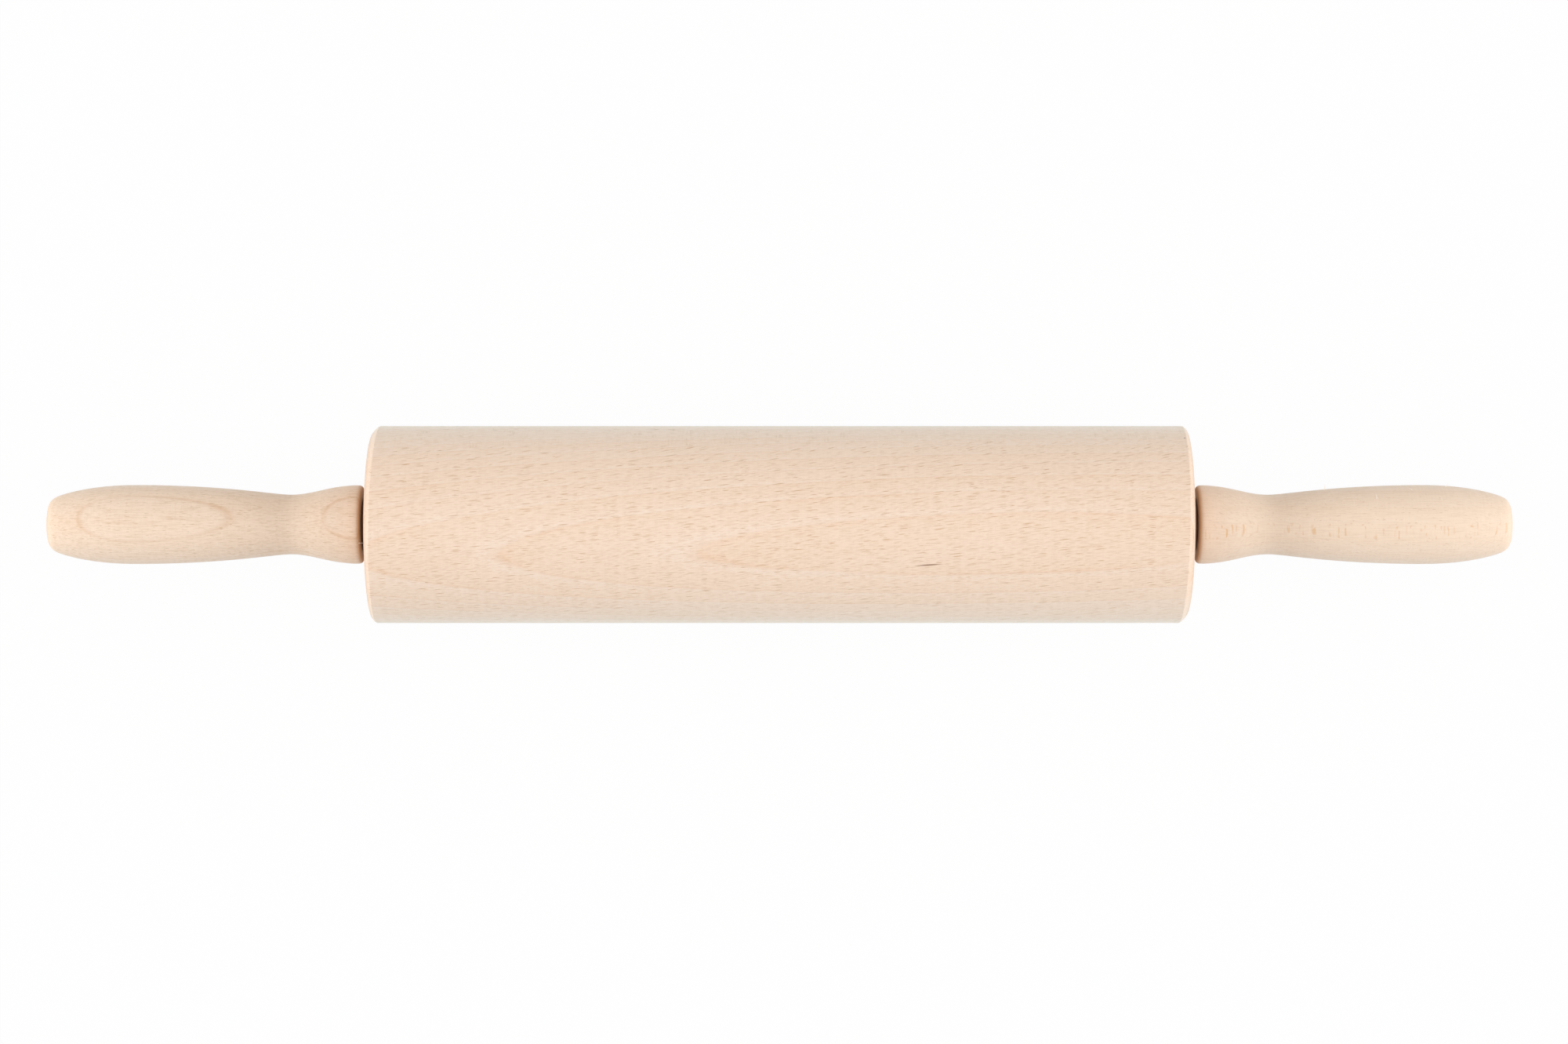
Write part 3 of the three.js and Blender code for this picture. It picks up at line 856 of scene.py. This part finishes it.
def volume(mesh):
    """Volume inside a closed mesh, below zero where its faces point inwards."""
    mesh.calc_loop_triangles()
    corners = [vertex.co for vertex in mesh.vertices]
    triangles = [[corners[i] for i in triangle.vertices] for triangle in mesh.loop_triangles]
    return sum(a.dot(b.cross(c)) for a, b, c in triangles) / 6


pieces = {}
for node, (material, body, slot) in FINISHES.items():
    kind = node.split("_", 1)[-1]
    piece = turned_piece(f"turned_{node}", fine_outlines[node], SIDES[kind], material)
    if volume(piece.data) < 0:
        piece.data.flip_normals()
    pieces[node] = piece
    print(f"{piece.name}: {len(piece.data.polygons)} faces, {volume(piece.data) / MM ** 3 / 1000:.1f} cm3")

# %% [markdown]
# The barrel's edges were eased by hand. Each end lost more on one side than on the other, so the rounding
# is stretched or shrunk about the sharp corner, by a share that changes round the rim.

# %% Ease the barrel's edges unevenly
UNEVEN = 0.3

barrel_outline = outlines["barrel"]
barrel_end = max(along for along, radius in barrel_outline)
barrel_radius = max(radius for along, radius in barrel_outline)
plain_end = max(along for along, radius in barrel_outline if barrel_radius - radius < SAME_PLACE)
ease = barrel_end - plain_end
for vertex in pieces["barrel"].data.vertices:
    x, y, z = vertex.co
    radius = math.hypot(y, z)
    back = barrel_end - abs(x)
    down = barrel_radius - radius
    if max(back, down) < ease + SAME_PLACE:
        stretch = 1 - UNEVEN * math.copysign(1, x) * y / radius
        shrink = (barrel_radius - down * stretch) / radius
        vertex.co = (math.copysign(barrel_end - back * stretch, x), y * shrink, z * shrink)
print("edges eased by", [round(ease / MM * (1 + sign * UNEVEN), 2) for sign in (-1, 1)], "mm")

# %% [markdown]
# ## Raised fibres
# Where the tool tore the wood, fibres stand up like whiskers: some on the upper side of the right handle,
# and one that bridges part of the left slit. A particle system could grow them. A small tree that sets a
# bent, tapering hair on each given point is easier to steer, and its seed keeps them as they are.

# %% Fibre tree
FIBRE_STEPS = 6
FIBRE_SIDES = 5
BEND_POWER = 2.0            # a hair bends most near its tip
FIBRE_TIP = 0.3             # thickness at the tip, as a share of that at the root
FIBRE_SIZES = (0.5, 1.0)    # of the smallest hair and the largest

fibre_tree = bpy.data.node_groups.new("raise_fibres", "GeometryNodeTree")
fibre_inputs = add_sockets(fibre_tree, "INPUT", {
    "Places": "Geometry", "Length": "Float", "Thickness": "Float", "Bend": "Float", "Lift": "Float",
    "Turn": "Float", "Seed": "Int", "Finish": "Material",
})
add_sockets(fibre_tree, "OUTPUT", {"Fibres": "Geometry"})

hair = add_node(fibre_tree, "NodeGroupInput").outputs
hair_end = add_node(fibre_tree, "ShaderNodeCombineXYZ", {"X": hair["Length"]})
hair_line = add_node(fibre_tree, "GeometryNodeCurvePrimitiveLine", {"End": hair_end})
hair_steps = add_node(fibre_tree, "GeometryNodeResampleCurve", {"Curve": hair_line, "Count": FIBRE_STEPS})
hair_share = add_node(fibre_tree, "GeometryNodeSplineParameter").outputs["Factor"]
bend_share = add_node(fibre_tree, MATH, {0: hair_share, 1: BEND_POWER}, operation="POWER")
bend_step = add_node(fibre_tree, MATH, {0: bend_share, 1: hair["Bend"]}, operation="MULTIPLY")
bend_way = add_node(fibre_tree, "ShaderNodeCombineXYZ", {"Y": bend_step})
bent = add_node(fibre_tree, "GeometryNodeSetPosition", {"Geometry": hair_steps, "Offset": bend_way})
taper = add_node(fibre_tree, MAP_RANGE, {"Value": hair_share, "To Min": 1.0, "To Max": FIBRE_TIP})
profile_radius = add_node(fibre_tree, MATH, {0: hair["Thickness"], 1: 0.5}, operation="MULTIPLY")
profile = add_node(fibre_tree, "GeometryNodeCurvePrimitiveCircle", {
    "Resolution": FIBRE_SIDES, "Radius": profile_radius})
one_hair = add_node(fibre_tree, "GeometryNodeCurveToMesh", {
    "Curve": bent, "Profile Curve": profile, "Scale": taper, "Fill Caps": True})
lift_turn = add_node(fibre_tree, "ShaderNodeCombineXYZ", {"Y": hair["Lift"], "Z": hair["Turn"]})
way_least = add_node(fibre_tree, VECTOR_MATH, {0: lift_turn, "Scale": -1.0}, operation="SCALE")
way_most = add_node(fibre_tree, "ShaderNodeCombineXYZ", {"Z": hair["Turn"]})
hair_way = add_node(fibre_tree, "FunctionNodeRandomValue", {
    "Min": way_least, "Max": way_most, "Seed": hair["Seed"]}, data_type="FLOAT_VECTOR")
hair_turn = add_node(fibre_tree, "FunctionNodeEulerToRotation", {"Euler": hair_way})
hair_size = add_node(fibre_tree, "FunctionNodeRandomValue", {
    "Min": FIBRE_SIZES[0], "Max": FIBRE_SIZES[1], "Seed": hair["Seed"]}, data_type="FLOAT")
hairs = add_node(fibre_tree, "GeometryNodeInstanceOnPoints", {
    "Points": hair["Places"], "Instance": one_hair, "Rotation": hair_turn, "Scale": hair_size})
hair_mesh = add_node(fibre_tree, "GeometryNodeRealizeInstances", {"Geometry": hairs})
hair_finish = add_node(fibre_tree, "GeometryNodeSetMaterial", {
    "Geometry": hair_mesh, "Material": hair["Finish"]})
add_node(fibre_tree, "NodeGroupOutput", {"Fibres": hair_finish})
print("fibre tree:", len(fibre_tree.nodes), "nodes")

# %% [markdown]
# On the real handle the whiskers can be counted, so their spots are given one by one. The outline of the
# handle puts each of them on the wood, with its root sunk in a little.

# %% Raise the fibres
TORN_SPOTS_MM = (  # along the handle and across it, on its upper side
    (156.3, 9.7), (160.4, 8.8), (165.4, 11.0), (170.7, 11.2), (180.4, 7.8), (188.0, 11.6), (189.2, 11.0),
    (191.6, 10.4), (195.2, 4.3), (202.0, 11.3), (187.3, 11.2), (190.5, 10.8),
)
SLIT_SPOT_MM = (-126.9, -5.6, 10.9)
SUNK_MM = 0.05
AXLE_HOLE_MM = 5.0          # all of the axle's hole lies within this radius
STEEPEST = 0.98             # share of the radius across which a fibre still stands on the upper side

torn_fibre = plain_material("torn_fibre", ("#fff8ee", "#fdf0e0"), PULP_MM, (0.6, 0.8), IOR=1.5)


def radius_at(along):
    """Radius of the right handle this far along the axis."""
    skin = [point for point in fine_outlines["right_handle"] if point[1] > AXLE_HOLE_MM * MM]
    near, far = sorted(skin, key=lambda point: abs(point[0] - along))[:2]
    share = (along - near[0]) / (far[0] - near[0]) if far[0] != near[0] else 0
    return near[1] + share * (far[1] - near[1])


def on_handle(along_mm, across_mm):
    """The point on the upper side of the right handle, sunk in a little."""
    radius = radius_at(along_mm * MM) - SUNK_MM * MM
    across = min(across_mm * MM, STEEPEST * radius)
    return along_mm * MM, across, math.sqrt(radius ** 2 - across ** 2)


def raise_fibres(name, places, **settings):
    """A new object with a hair on each place."""
    spots = bpy.data.meshes.new(f"{name}_places")
    spots.from_pydata(places, [], [])
    return grown(name, spots, fibre_tree, {fibre_inputs[key]: value for key, value in settings.items()})


handle_fibres = raise_fibres(
    "right_handle_fibres", [on_handle(*spot) for spot in TORN_SPOTS_MM], Length=1.7 * MM,
    Thickness=0.26 * MM, Bend=0.6 * MM, Lift=math.radians(20), Turn=math.pi, Seed=4, Finish=torn_fibre)
slit_fibre = raise_fibres(
    "left_slit_fibre", [tuple(value * MM for value in SLIT_SPOT_MM)], Length=2.2 * MM,
    Thickness=0.16 * MM, Bend=0.1 * MM, Lift=0.02, Turn=0.05, Seed=1, Finish=torn_fibre)
for fibre in (handle_fibres, slit_fibre):
    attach(fibre, "handle_set")
    print(f"{fibre.name}: {len(fibre.data.polygons)} faces")

# %% [markdown]
# ## Join the frame
# Every piece takes the place of its faceted solid and rides on the same body. The axle's solid keeps its
# knurl and stays, with steel on it.

# %% Ride on the bodies
for node, (material, body, slot) in FINISHES.items():
    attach(pieces[node], body)
    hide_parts(node)
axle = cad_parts["axle_rod"]
axle.data.materials.clear()
axle.data.materials.append(steel)
print("pieces:", len(pieces))
